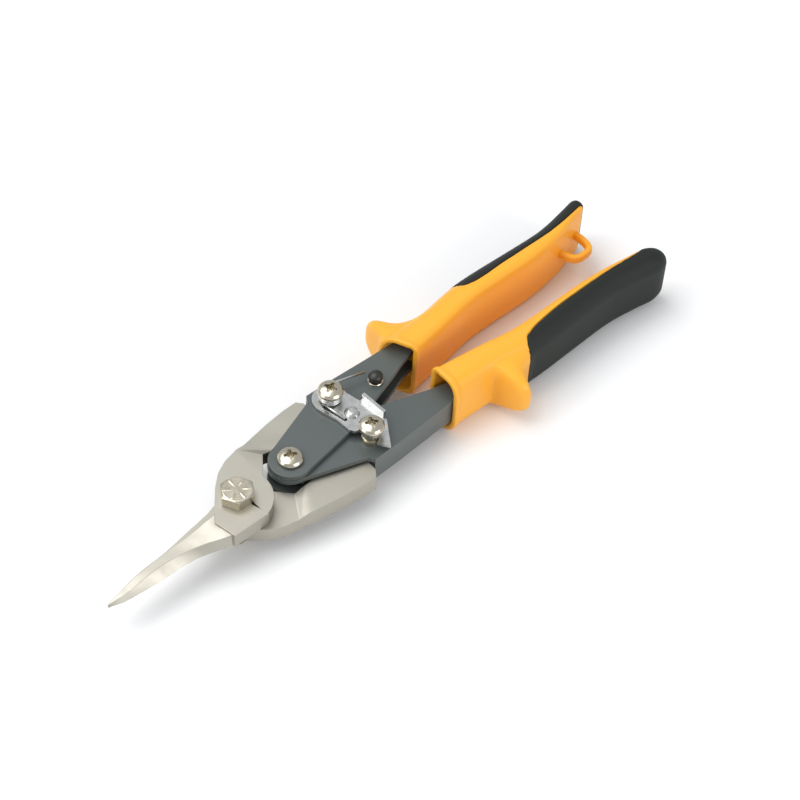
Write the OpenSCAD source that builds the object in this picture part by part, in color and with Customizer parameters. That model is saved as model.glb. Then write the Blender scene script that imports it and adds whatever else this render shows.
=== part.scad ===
// Aviation snips, compound action, closed and latched.
// Origin: main pivot axis at the plane that the snips rest on.
// +X runs to the grips, +Y to the upper handle, +Z to the bolt head.
// Lower blade and channel are the upper ones turned half round the X axis.

/* [Linkage] */
// Distance from main pivot to handle pivot
handle_pivot_x = 24; // [23:0.5:28]
// Distance from main pivot to the blade-to-handle link pivots
link_pivot_x = 52; // [50:0.5:62.5]
// Sideways distance of each link pivot from the centre line
link_pivot_y = 10.5; // [10:0.25:11.5]
// Height of the plane where the blades meet
mid_z = 12.5; // [12.5:0.5:15]

/* [Blades] */
// Length of the jaws, main pivot to tip
jaw_len = 59; // [45:1:75]
// Thickness of each blade at the main pivot
blade_t = 6; // [5:0.25:7]
// Gap between the two blade faces
blade_gap = 0.1; // [0.06:0.02:0.3]
// Radius of the round blade boss
boss_r = 12.5; // [11.5:0.25:13]
// Thickness of each blade tail inside its handle
tail_t = 5.6; // [4:0.2:6]
// Distance of the upper tail's outer edge from the centre line
tail_out = 19.7; // [18.5:0.1:21]
// How much wider the lower blade's lip stands
lower_lip = 2.1; // [0:0.1:2.5]

/* [Handles] */
// Sheet thickness of the handle channels
sheet_t = 2; // [1.5:0.1:2.4]
// Inside width of each channel, ear to ear
channel_in = 6.8; // [6.4:0.1:7.6]
// Shift of each channel off the blade plane, so the ears interleave
ear_shift = 1.1; // [1.08:0.02:1.3]
// Radius of the channel's round front end
ear_r = 7.8; // [7:0.1:8]
// Where the channel ends inside the grip
tang_end = 165; // [120:1:170]

/* [Grips] */
// Height of the grips
grip_h = 25; // [20.5:0.5:28]
// Front of the lower grip's collar
collar_x = 86.5; // [84:0.5:90]
// End of the upper grip
upper_grip_end = 187; // [186:0.5:200]
// End of the lower grip
lower_grip_end = 193; // [188:0.5:205]
// Corner radius of the grip section
grip_corner = 4; // [2:0.25:4.5]
// Thickness of the collar wall at its mouth
collar_wall = 1.5; // [1.2:0.1:2]
// Depth of the collar mouth
mouth_depth = 6; // [3:0.5:9]
// Thickness of the soft insert
insert_t = 2.4; // [1.5:0.1:2.6]
// Reach of the finger guard from the centre line
guard_reach = 31; // [25:0.5:34]
// Height of the finger guard
guard_h = 17; // [10:1:19]
// Tip of the upper guard along the handle
upper_guard_x = 89.5; // [88:0.5:100]
// Tip of the lower guard along the handle
lower_guard_x = 110; // [98:0.5:112]
// Thickness of the hanging loop
loop_t = 3.6; // [3:0.2:5]
// Gap in the hanging loop, along the handle
loop_gap_x = 8; // [6:0.5:9]
// Gap in the hanging loop, out from the grip
loop_gap_y = 5; // [4.8:0.1:5.4]

/* [Hardware] */
// Radius of the main pivot bolt
bolt_r = 3.175; // [2.8:0.025:3.6]
// Width across flats of the bolt head and its nut
bolt_af = 11.1; // [10:0.1:12.7]
// Height of the bolt head
bolt_head_h = 4.1; // [3:0.1:5]
// Height of the main nut
bolt_nut_h = 5.55; // [4.5:0.05:5.55]
// Radius of the small screws
screw_r = 2.4; // [2:0.05:2.5]
// Radius of the pan heads
head_r = 4.65; // [4:0.05:5]
// Height of the pan heads
head_h = 2.9; // [2:0.1:3.2]
// Width across flats of the small nuts
nut_af = 9.5; // [8:0.1:10]
// Height of the small nuts
nut_h = 3.2; // [2:0.1:3.2]
// Outer radius of the sleeves and collars
sleeve_r = 3.2; // [2.9:0.05:3.4]
// Radial running clearance of the pivots
run_fit = 0.08; // [0.04:0.01:0.1]
// Radial clearance of fixed pieces on their screws
seat_fit = 0.04; // [0.02:0.01:0.06]
// Radial play of the handle pivot, the open pivot of the linkage
open_play = 0.36; // [0.34:0.02:0.5]

/* [Latch] */
// Thickness of the latch plate
latch_t = 1.2; // [0.8:0.1:1.4]
// Height of the link screws' heads over the upper ear
latch_room = 4.9; // [4.4:0.1:5.5]
// Radius of the catch collar's waist, where the latch hooks it
waist_r = 2.75; // [2.6:0.05:2.9]
// Gap round the waist in the latch notch
notch_play = 0.3; // [0.2:0.05:0.5]
// Height of the thumb tab over the plate
tab_h = 2.75; // [2:0.25:5]
// Wire of the latch spring
latch_wire = 0.8; // [0.6:0.05:0.9]
// Wire of the main spring
main_wire = 1.3; // [1:0.05:1.4]
// Spring anchor post, distance along the handle from the upper link pivot
post_run = 18.5; // [17:0.5:24]

/* [Motion] */
// Largest opening angle of the blades
blade_open = 18; // [10:0.5:18]
// Turn of each handle on its link per degree of blade opening
handle_ratio = 0.475; // [0.45:0.005:0.5]
// Turn of the latch per degree of blade opening
latch_ratio = 2.1; // [2:0.05:2.2]

/* [Hidden] */
$fn = 64;

eps = 0.01;
far = 400;
channel_h = channel_in + 2 * sheet_t;
channel_z = mid_z + ear_shift - channel_h / 2;
ear_top = channel_z + channel_h;
lower_channel_z = 2 * mid_z - ear_top;
lower_ear_top = lower_channel_z + channel_h;
tail_z = channel_z + sheet_t + (channel_in - tail_t) / 2;
tail_top = tail_z + tail_t;
boss_top = mid_z + blade_t;
head_z = ear_top + latch_room;
washer_t = mid_z - blade_t - bolt_nut_h;
latch_z = ear_top + 0.2;
latch_top = latch_z + latch_t;
grip_z = mid_z - grip_h / 2;
web_x = link_pivot_x - 4.5;
web_out = link_pivot_y + 7.4;
relief_r = ear_r + 1;
joggle_turn = 33;
joggle_s = handle_pivot_x - 4.1;
joggle_len = 4.5;
jaw_stations = [-1, -0.97, -0.92, -0.86, -0.78, -0.69, -0.6, -0.51, -0.42, -0.33, -0.25, -0.14];
upper_front = [[-boss_r - 0.5, -3.5], [-boss_r + 0.9, -boss_r + 0.4]];
lower_front = [[-boss_r - 0.7, -3.6], [-4, -6.2], [0, -10.5]];
link_boss_r = web_out - sheet_t - link_pivot_y - 0.5;
neck_x = handle_pivot_x - 11;
loop_x = upper_grip_end - 11;
loop_bar = 2.6;
post_x = link_pivot_x + post_run;
post_y = web_out - 10.9;
post_r = 2.2;
coil_r = latch_wire / 2 + sleeve_r + 0.2;
main_coil_r = sleeve_r + main_wire / 2 + 1.6;
steel = "#C9C6BA";
paint = "#59625F";
yellow = "#F8AE33";
charcoal = "#2F332E";
nickel = "#D8CFB8";
bright = "#E6E6E2";

// Half turn round the X axis through the blade plane.
module half_turn() {
    translate([0, 0, 2 * mid_z])
        rotate([180, 0, 0])
            children();
}

// Smooth value at x through a list of [x, value] points.
function knot(p, i) = p[max(0, min(len(p) - 1, i))];
function span_of(p, x, i = 0) =
    i >= len(p) - 2 || x < p[i + 1][0] ? i : span_of(p, x, i + 1);
function slope(p, i) =
    (knot(p, i + 1)[1] - knot(p, i - 1)[1]) / (knot(p, i + 1)[0] - knot(p, i - 1)[0]);
function smooth(p, x) =
    let (i = span_of(p, x), h = p[i + 1][0] - p[i][0])
    let (t = max(0, min(1, (x - p[i][0]) / h)))
    p[i][1] * (2 * t * t * t - 3 * t * t + 1) + slope(p, i) * h * (t * t * t - 2 * t * t + t)
    + p[i + 1][1] * (3 * t * t - 2 * t * t * t) + slope(p, i + 1) * h * (t * t * t - t * t);

// Closed skin through rings of points, each ring anticlockwise seen from +X.
module skin(rings) {
    n = len(rings[0]);
    m = len(rings);
    polyhedron(
        [for (ring = rings, p = ring) p],
        concat(
            [[for (i = [0 : n - 1]) i]],
            [for (k = [0 : m - 2], i = [0 : n - 1])
                [k * n + i, (k + 1) * n + (i + 1) % n, k * n + (i + 1) % n]],
            [for (k = [0 : m - 2], i = [0 : n - 1])
                [k * n + i, (k + 1) * n + i, (k + 1) * n + (i + 1) % n]],
            [[for (i = [n - 1 : -1 : 0]) (m - 1) * n + i]]
        )
    );
}

// ---------- blades ----------

// Plan of a blade's boss and tail, lip widening its outer edge, front its corners by the jaw.
module blade_plan(lip, front) {
    out = tail_out + lip;
    difference() {
        union() {
            intersection() {
                circle(r = boss_r);
                translate([0.2 * boss_r, -2 * boss_r])
                    square(4 * boss_r);
            }
            polygon(concat(front, [
                [3.4, -boss_r + 0.15], [0, 0],
                [boss_r - 0.4, 0.5], [neck_x + 6, 8.5], [handle_pivot_x + 9, 8.3],
                [link_pivot_x - 6, link_pivot_y - link_boss_r + 0.2],
                [link_pivot_x, link_pivot_y - link_boss_r + 0.3],
                [link_pivot_x, link_pivot_y + link_boss_r - 0.3],
                [web_x - 1, link_pivot_y + link_boss_r - 0.4],
                [web_x - 1.5, out - 2.2], [web_x - 3.2, out], [web_x - 9, out],
                [handle_pivot_x + 6, out - 0.8], [neck_x + 5.5, out - 2.6],
                [neck_x, out - 3.9], [7, out - 5.2], [2, out - 7.5], [-3, out - 11.7],
                [-8, 2.5 + lip]
            ]));
            translate([link_pivot_x, link_pivot_y])
                circle(r = link_boss_r);
        }
        translate([handle_pivot_x, 0])
            circle(r = relief_r);
    }
}

// Side view of boss, joggle and tail, as a band square to the joggle.
module joggle_band() {
    lap = 90;
    rotate([90, 0, joggle_turn])
        translate([0, 0, -lap])
            linear_extrude(2 * lap)
                polygon([
                    [-lap, mid_z + blade_gap / 2], [joggle_s, mid_z + blade_gap / 2],
                    [joggle_s + joggle_len, tail_z], [lap, tail_z], [lap, tail_top],
                    [joggle_s + joggle_len, tail_top], [joggle_s, boss_top], [-lap, boss_top]
                ]);
}

module blade_body(lip, front) {
    intersection() {
        linear_extrude(4 * mid_z)
            blade_plan(lip, front);
        joggle_band();
    }
}

// A jaw from tip to boss: its outer foot, cutting edge, inner and outer brow,
// each a list of [share of the jaw's length, distance along Y], and its height.
module jaw(foot, edge, inner, outer, height, up) {
    skin([for (u = jaw_stations)
        let (x = u * jaw_len, z0 = mid_z + up * blade_gap / 2, z1 = mid_z + up * smooth(height, u))
        [
            [x, smooth(foot, u), z0], [x, smooth(edge, u), z0],
            [x, smooth(inner, u), z1], [x, smooth(outer, u), z1]
        ]]);
}

module blade_holes() {
    translate([0, 0, -mid_z])
        cylinder(r = bolt_r + run_fit, h = 4 * mid_z);
    translate([link_pivot_x, link_pivot_y, -mid_z])
        cylinder(r = sleeve_r + run_fit, h = 4 * mid_z);
}

module upper_blade() {
    color(steel)
        difference() {
            union() {
                blade_body(0, upper_front);
                jaw(
                    [[-1, -3.6], [-0.94, -5.3], [-0.77, -6.5], [-0.6, -7.1],
                     [-0.47, -7.2], [-0.34, -8.8], [-0.24, -10.8], [-0.19, -12], [-0.14, -12]],
                    [[-1, -2.8], [-0.82, -0.3], [-0.66, 1], [-0.49, 1.1], [-0.27, 1], [-0.14, 1]],
                    [[-1, -3.1], [-0.85, -1.9], [-0.68, -0.9], [-0.51, -0.5], [-0.27, -0.5], [-0.14, -0.3]],
                    [[-1, -3.4], [-0.86, -4.5], [-0.68, -3.8], [-0.54, -4.2],
                     [-0.38, -6], [-0.27, -9], [-0.2, -11.6], [-0.14, -11.8]],
                    [[-1, 0.8], [-0.93, 1.7], [-0.77, 2.8], [-0.51, 3.2], [-0.33, 3.9],
                     [-0.2, blade_t - 0.5], [-0.14, blade_t - 0.5]],
                    1
                );
            }
            blade_holes();
        }
}

module lower_blade() {
    color(steel)
        difference() {
            union() {
                half_turn()
                    blade_body(lower_lip, lower_front);
                half_turn()
                    lower_rib();
                jaw(
                    [[-1, -3], [-0.82, -0.4], [-0.66, 0.9], [-0.51, 1.6], [-0.36, 3],
                     [-0.22, 4.1], [-0.14, 4.9]],
                    [[-1, -3.7], [-0.68, -4.2], [-0.34, -5.4], [-0.14, -6]],
                    [[-1, -3.5], [-0.82, -3.5], [-0.51, -3.6], [-0.14, -4.5]],
                    [[-1, -3.2], [-0.82, -2.1], [-0.66, -1.6], [-0.51, -1.3], [-0.36, 0.6],
                     [-0.22, 2.6], [-0.14, 3.4]],
                    [[-1, 0.8], [-0.93, 1.7], [-0.77, 2.8], [-0.51, 3.2], [-0.14, 3.4]],
                    -1
                );
            }
            half_turn()
                blade_holes();
        }
}

// Rib under the lower tail, outside its ear, that keeps the lip full depth.
module lower_rib() {
    rib_gap = 0.8;
    intersection() {
        translate([0, 0, tail_top - eps])
            linear_extrude(boss_top - tail_top - 0.3)
                blade_plan(lower_lip, lower_front);
        linear_extrude(4 * mid_z)
            polygon([
                [neck_x + 2, 14.5], [neck_x + 9, ear_r + 4.6], [web_x - 3, link_pivot_y + 6.2 + rib_gap],
                [web_x - 1, link_pivot_y + 8 + rib_gap], [web_x - 1, 3 * ear_r],
                [neck_x + 1, 3 * ear_r]
            ]);
    }
}

// ---------- handle channels ----------

// Outer and inner edges of the channel: [distance along handle, distance out].
outer_edge = [
    [web_x, web_out], [60, web_out - 0.3], [75, web_out - 1.1], [88, web_out - 1.5],
    [100, web_out - 1.5], [120, web_out], [140, web_out - 0.4], [170, web_out - 1.6]
];
inner_edge = [
    [46, -4.8], [60, -0.6], [77, 4.7], [88, 8.2], [100, 9.6], [120, 12.2], [140, 12.2],
    [170, 12.4]
];
tang_stations = [for (x = [web_x : 6 : tang_end - 1]) x, tang_end];

module channel_plan() {
    side = atan2(link_pivot_y + 4.7, web_x - 1.5 - handle_pivot_x) - 12.5;
    near_r = ear_r - 0.2;
    polygon(concat(
        [[handle_pivot_x, 0],
         [handle_pivot_x - near_r * sin(side), near_r * cos(side)],
         [web_x - 1.5, link_pivot_y + 4.9]],
        [for (x = tang_stations) [x, smooth(outer_edge, x)]],
        [for (i = [len(tang_stations) - 1 : -1 : 0])
            [tang_stations[i], smooth(inner_edge, tang_stations[i])]],
        [[handle_pivot_x + 1.4, -near_r]]
    ));
}

// The tang alone, with a clearance all round, from x0 on.
module tang_plan(x0, gap) {
    xs = [x0, for (x = tang_stations) if (x > x0 + 1) x];
    last = len(xs) - 1;
    polygon(concat(
        [for (x = xs) [x, smooth(outer_edge, x) + gap]],
        [[xs[last] + gap, smooth(outer_edge, xs[last]) + gap],
         [xs[last] + gap, smooth(inner_edge, xs[last]) - gap]],
        [for (i = [last : -1 : 0]) [xs[i], smooth(inner_edge, xs[i]) - gap]]
    ));
}

// Inside of the channel: everything short of the web.
module channel_pocket() {
    polygon(concat(
        [[0, -far], [0, far], [web_x, far], [web_x, web_out - sheet_t]],
        [for (x = tang_stations) [x, smooth(outer_edge, x) - sheet_t]],
        [[tang_end + 1, web_out - sheet_t - 1.6], [tang_end + 1, -far]]
    ));
}

module channel(top_play_r, bottom_play_r) {
    difference() {
        translate([0, 0, channel_z])
            union() {
                linear_extrude(channel_h)
                    channel_plan();
                translate([handle_pivot_x, 0, 0])
                    cylinder(r = ear_r, h = channel_h);
            }
        translate([0, 0, channel_z + sheet_t])
            linear_extrude(channel_in)
                channel_pocket();
        translate([link_pivot_x, link_pivot_y, 0])
            cylinder(r = screw_r + seat_fit, h = 4 * mid_z);
        translate([handle_pivot_x, 0, mid_z])
            cylinder(r = top_play_r, h = 2 * mid_z);
        translate([handle_pivot_x, 0, -mid_z])
            cylinder(r = bottom_play_r, h = 2 * mid_z);
    }
}

module upper_channel() {
    color(paint)
        difference() {
            channel(screw_r + open_play, sleeve_r + open_play);
            translate([post_x, post_y, mid_z])
                cylinder(r = post_r - 0.6 + seat_fit, h = 2 * mid_z);
        }
}

module lower_channel() {
    color(paint)
        half_turn()
            channel(screw_r + seat_fit, screw_r + seat_fit);
}

// ---------- grips ----------

// Outer side of both grips, and inner side of each: [distance along handle, distance out].
grip_out = [
    [78, 17.6], [88, 18.1], [103, 18.5], [118, 20.5], [128, 20.9], [148, 20.2],
    [160, 19.8], [168, 20], [178, 21.2], [190, 23.2], [205, 24.6]
];
grip_in_front = [
    [78, 4.2], [88, 5], [94, 5.7], [107, 7.4], [120, 9.4], [130, 9.9], [150, 9.7]
];
upper_grip_in = concat(grip_in_front, [[160, 10], [170, 11.2], [180, 12.7], [190, 13.8], [205, 15.4]]);
lower_grip_in = concat(grip_in_front, [[160, 9.8], [170, 10.5], [183, 12.3], [205, 14.6]]);

// Rounded rectangle section, inset by d, at x; inner is the grip's inner side.
function section(inner, x, d) =
    let (y0 = smooth(inner, x) + d, y1 = smooth(grip_out, x) - d)
    let (z0 = grip_z + d, z1 = grip_z + grip_h - d)
    let (r = max(0.5, min(grip_corner - d * 0.6, (y1 - y0) / 2 - 0.2)))
    [for (q = [0 : 3], a = [0 : 18 : 90])
        let (cy = q == 0 || q == 3 ? y1 - r : y0 + r, cz = q < 2 ? z1 - r : z0 + r)
        [x, cy + r * cos(a + 90 * q), cz + r * sin(a + 90 * q)]];

// Stations of the whole grip, its end drawn in as a quarter round.
function grip_stations(front, end, d, round_r) = [
    [front, d],
    for (x = [96 : 8 : end - round_r - 4]) if (x > front + 1) [x, d],
    for (a = [0 : 22.5 : 67.5]) [end - round_r + (round_r - d) * sin(a), d + (round_r - d) * (1 - cos(a))],
    [end - d - 0.05, d + (round_r - d) * 0.75]
];

// Edge of each soft insert: it leaves the outer side, runs back along the top,
// and the lower one turns round the end.
insert_x = 121.5;
upper_insert_edge = [
    [insert_x, 24], [insert_x + 1, 19.6], [126, 17.4], [134, 16], [146, 15.3], [160, 15.2],
    [172, 16.1], [180, 17.6], [upper_grip_end + 9, 19.6]
];
lower_insert_edge = [
    [insert_x, 24], [insert_x + 1, 19.6], [125.5, 17], [131, 15], [140, 13.8], [160, 13.5],
    [lower_grip_end - 14, 13.5], [lower_grip_end - 5, 12.8], [lower_grip_end - 3, 9],
    [lower_grip_end + 9, 9]
];

// Plan of a soft insert, everything outside its edge.
module insert_plan(edge, end) {
    polygon(concat(edge, [[end + 9, 40], [insert_x, 40]]));
}

// Body of the grip, with its end round as given.
module grip_skin(inner, front, end, d, round_r) {
    skin([for (s = grip_stations(front, end, d, round_r)) section(inner, s[0], s[1])]);
}

module soft_insert(inner, edge, end, round_r) {
    intersection() {
        difference() {
            grip_skin(inner, 100, end, 0, round_r);
            grip_skin(inner, 99, end, insert_t, round_r);
        }
        translate([0, 0, -mid_z])
            linear_extrude(4 * mid_z)
                insert_plan(edge, end);
    }
}

// Seat for the insert: the same band, cut a hair fuller outside.
module insert_seat(inner, edge, end, round_r) {
    difference() {
        translate([0, 0, -mid_z])
            linear_extrude(4 * mid_z)
                insert_plan(edge, end);
        grip_skin(inner, 99, end, insert_t, round_r);
    }
}

// Finger guard: a round-tipped fin on the outer side.
module guard(x) {
    tip_r = 2.8;
    tip_y = guard_reach - tip_r;
    translate([x, 0, mid_z - guard_h / 2])
        linear_extrude(guard_h)
            union() {
                translate([0, tip_y])
                    circle(r = tip_r);
                polygon([
                    [-6.5, 16.5], [-5.6, 19], [-4.2, 23], [-tip_r, tip_y],
                    [tip_r * 0.8, tip_y + tip_r * 0.6], [4.4, 25.2], [7.4, 21.6],
                    [11, 19.2], [11, 16.5]
                ]);
            }
}

module grip_body(inner, edge, front, end, guard_x, round_r) {
    difference() {
        union() {
            grip_skin(inner, front, end, 0, round_r);
            guard(guard_x);
        }
        insert_seat(inner, edge, end, round_r);
        skin([
            section(inner, front - 0.5, collar_wall),
            section(inner, collar_x + mouth_depth, collar_wall)
        ]);
        translate([0, 0, channel_z - 0.15])
            linear_extrude(channel_h + 0.3)
                tang_plan(front - 1, 0.15);
    }
}

// Hanging loop on the inner side of the upper grip.
module loop_bar_shape() {
    half = loop_gap_x / 2 + 3.4;
    root = smooth(upper_grip_in, loop_x + half) + 1.2;
    far_y = smooth(upper_grip_in, loop_x - half) - loop_gap_y - loop_bar;
    translate([loop_x, 0, mid_z - loop_t / 2])
        linear_extrude(loop_t)
            difference() {
                polygon([
                    [-half, root], [-half + 2.4, far_y + 0.5], [-half + 3.4, far_y],
                    [half - 4, far_y], [half - 1.2, far_y + 1.8], [half, far_y + 4], [half, root]
                ]);
                translate([-loop_gap_x / 2, far_y + loop_bar])
                    square([loop_gap_x, far]);
            }
}

module upper_grip() {
    color(yellow)
        difference() {
            grip_body(
                upper_grip_in, upper_insert_edge, collar_x - 7, upper_grip_end, upper_guard_x, 5
            );
            // The collar's front edge slants forward on its outer side.
            translate([collar_x - 4, web_out - 0.3, -mid_z])
                rotate([0, 0, 24])
                    translate([-far, -far / 2, 0])
                        cube([far, far, 4 * mid_z]);
        }
}

module hanging_loop() {
    color(yellow)
        difference() {
            loop_bar_shape();
            grip_skin(upper_grip_in, 100, upper_grip_end, 0, 5);
        }
}

module lower_grip() {
    color(yellow)
        half_turn()
            grip_body(
                lower_grip_in, lower_insert_edge, collar_x, lower_grip_end, lower_guard_x, 5.5
            );
}

module upper_grip_insert() {
    color(charcoal)
        soft_insert(upper_grip_in, upper_insert_edge, upper_grip_end, 5);
}

module lower_grip_insert() {
    color(charcoal)
        half_turn()
            soft_insert(lower_grip_in, lower_insert_edge, lower_grip_end, 5.5);
}

// ---------- hardware ----------

module hex_prism(af, h) {
    cylinder(r = af / sqrt(3), h = h, $fn = 6);
}

module tube(r_out, r_in, h) {
    difference() {
        cylinder(r = r_out, h = h);
        translate([0, 0, -eps])
            cylinder(r = r_in, h = h + 2 * eps);
    }
}

module pivot_bolt() {
    color(nickel) {
        cylinder(r = bolt_r, h = boss_top + eps);
        translate([0, 0, boss_top])
            rotate([0, 0, -35.4])
                difference() {
                    intersection() {
                        hex_prism(bolt_af, bolt_head_h);
                        cylinder(r1 = bolt_af * 0.94, r2 = bolt_af * 0.48, h = bolt_head_h);
                    }
                    // Six radial grade marks.
                    for (a = [0 : 60 : 300])
                        rotate([0, 0, a])
                            translate([bolt_af * 0.3, -0.2, bolt_head_h - 0.15])
                                cube([bolt_af * 0.14, 0.4, 1]);
                }
    }
}

module pivot_washer() {
    color(nickel)
        translate([0, 0, bolt_nut_h])
            tube(bolt_af * 0.56, bolt_r + seat_fit, washer_t);
}

module pivot_nut() {
    color(nickel)
        difference() {
            hex_prism(bolt_af, bolt_nut_h);
            translate([0, 0, -eps])
                cylinder(r = bolt_r + seat_fit, h = bolt_nut_h + 2 * eps);
        }
}

// Pan-head screw with a cross recess, its head resting at z, its end at z_end.
module pan_screw(z, z_end, turn) {
    ball_r = (head_r * head_r + head_h * head_h) / (2 * head_h);
    translate([0, 0, z_end])
        cylinder(r = screw_r, h = z - z_end + eps);
    translate([0, 0, z])
        difference() {
            intersection() {
                cylinder(r = head_r - 0.1, h = head_h);
                translate([0, 0, head_h - ball_r])
                    sphere(r = ball_r);
            }
            translate([0, 0, head_h - 1.3])
                rotate([0, 0, turn])
                    for (a = [0, 90])
                        rotate([0, 0, a])
                            translate([-2.3, -0.45, 0])
                                cube([4.6, 0.9, head_h]);
        }
}

module small_nut(z) {
    translate([0, 0, z - nut_h])
        difference() {
            hex_prism(nut_af, nut_h);
            translate([0, 0, -eps])
                cylinder(r = screw_r + seat_fit, h = nut_h + 2 * eps);
        }
}

module at_handle_pivot() {
    translate([handle_pivot_x, 0, 0])
        children();
}

module at_upper_link() {
    translate([link_pivot_x, link_pivot_y, 0])
        children();
}

module at_lower_link() {
    translate([link_pivot_x, -link_pivot_y, 0])
        children();
}

module handle_pivot_screw() {
    color(nickel)
        at_handle_pivot()
            pan_screw(ear_top + 0.1, lower_channel_z - nut_h + 0.2, 62);
}

module handle_pivot_sleeve() {
    color(charcoal)
        at_handle_pivot()
            translate([0, 0, lower_channel_z + sheet_t])
                tube(sleeve_r, screw_r + seat_fit, channel_in);
}

module handle_pivot_nut() {
    color(nickel)
        at_handle_pivot()
            small_nut(lower_channel_z);
}

module upper_link_screw() {
    color(nickel)
        at_upper_link()
            pan_screw(head_z, channel_z - nut_h + 0.2, 20);
}

module upper_link_sleeve() {
    color(nickel)
        at_upper_link()
            translate([0, 0, channel_z + sheet_t])
                tube(sleeve_r, screw_r + seat_fit, channel_in);
}

module upper_link_nut() {
    color(nickel)
        at_upper_link()
            small_nut(channel_z);
}

module latch_collar() {
    color(nickel)
        at_upper_link()
            translate([0, 0, ear_top])
                tube(sleeve_r, screw_r + seat_fit, latch_room);
}

module lower_link_screw() {
    color(nickel)
        at_lower_link()
            pan_screw(head_z, lower_channel_z - nut_h + 0.2, 62);
}

module lower_link_sleeve() {
    color(nickel)
        at_lower_link()
            translate([0, 0, lower_channel_z + sheet_t])
                tube(sleeve_r, screw_r + seat_fit, channel_in);
}

module lower_link_nut() {
    color(nickel)
        at_lower_link()
            small_nut(lower_channel_z);
}

// Collar with a waist that the latch plate hooks round.
module catch_collar() {
    gap = 0.2;
    color(nickel)
        at_lower_link() {
            translate([0, 0, lower_ear_top])
                tube(sleeve_r, screw_r + seat_fit, latch_z - gap - lower_ear_top);
            translate([0, 0, latch_z - gap])
                tube(waist_r, screw_r + seat_fit, latch_t + 2 * gap);
            translate([0, 0, latch_top + gap])
                tube(sleeve_r, screw_r + seat_fit, head_z - latch_top - gap);
        }
}

// ---------- springs ----------

// End turn of a coil, running off as a straight leg towards -Y.
module end_turn(r, wire, leg) {
    rotate([0, 0, -70])
        rotate_extrude(angle = 250)
            translate([r, 0])
                circle(r = wire / 2, $fn = 32);
    translate([-r, 0, 0])
        rotate([90, 0, 0])
            cylinder(r = wire / 2, h = leg, $fn = 32);
}

// Climb from one turn of the coil to the next.
module climb(r, wire, pitch) {
    translate([r, 0, 0])
        cylinder(r = wire * 0.45, h = pitch, $fn = 32);
}

// Torsion spring of three close turns, each leg with its own length and turn.
module torsion_spring(r, wire, leg_1, turn_1, leg_2, turn_2) {
    pitch = wire + 0.06;
    translate([0, 0, wire / 2])
        rotate([0, 0, turn_1]) {
            end_turn(r, wire, leg_1);
            rotate([0, 0, 30])
                climb(r, wire, pitch);
        }
    translate([0, 0, wire / 2 + pitch])
        rotate_extrude()
            translate([r, 0])
                circle(r = wire / 2, $fn = 32);
    translate([0, 0, wire / 2 + 2 * pitch])
        rotate([0, 0, turn_2])
            mirror([1, 0, 0]) {
                end_turn(r, wire, leg_2);
                rotate([0, 0, 30])
                    translate([0, 0, -pitch])
                        climb(r, wire, pitch);
            }
}

module main_spring() {
    leg = 15;
    bottom = channel_z + sheet_t + 0.3;
    color(charcoal)
        at_handle_pivot()
            translate([0, 0, bottom])
                torsion_spring(main_coil_r, main_wire, leg, 90, leg, 90);
}

module latch_spring() {
    rise = 0.15;
    color(nickel)
        at_upper_link()
            translate([0, 0, latch_top + rise])
                torsion_spring(coil_r, latch_wire, 10, 6, post_run - 1.5, 86);
}

module spring_anchor_post() {
    color(charcoal)
        translate([post_x, post_y, 0]) {
            translate([0, 0, ear_top - sheet_t])
                cylinder(r = post_r - 0.6, h = sheet_t + eps);
            translate([0, 0, ear_top])
                cylinder(r = post_r + 0.6, h = 0.8);
            translate([0, 0, ear_top + 0.7])
                cylinder(r = post_r - 0.4, h = 2.2);
            translate([0, 0, ear_top + 2.2])
                intersection() {
                    cylinder(r = post_r + 0.3, h = 2.3);
                    sphere(r = post_r + 0.5);
                }
        }
}

// ---------- latch ----------

function turned(p, a) = [p[0] * cos(a) - p[1] * sin(a), p[0] * sin(a) + p[1] * cos(a)];

// Where the catch collar lies, seen from the latch, when the blades open by q.
function catch_at(q) =
    let (upper = turned([link_pivot_x, link_pivot_y], q))
    turned([link_pivot_x, -link_pivot_y] - upper, -q * (1 + handle_ratio + latch_ratio));

// Plan of the latch plate, drawn from its pivot.
module latch_blank() {
    drop = 2 * link_pivot_y;
    union() {
        circle(r = 6.4);
        polygon([
            [-6.2, 1.6], [-6.1, -2.6], [-4.7, -8.3], [-4.5, -drop + 6.2], [-3.5, -drop + 4.4],
            [-1.9, -drop + 3.9], [-0.6, -drop - 3.2], [-1.4, -drop - 4.2], [1.4, -drop - 8.6],
            [8.6, -drop + 1.2], [8.2, -18.6], [7.3, -18.6], [7.3, -7.2], [6.2, -1.6]
        ]);
    }
}

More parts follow.
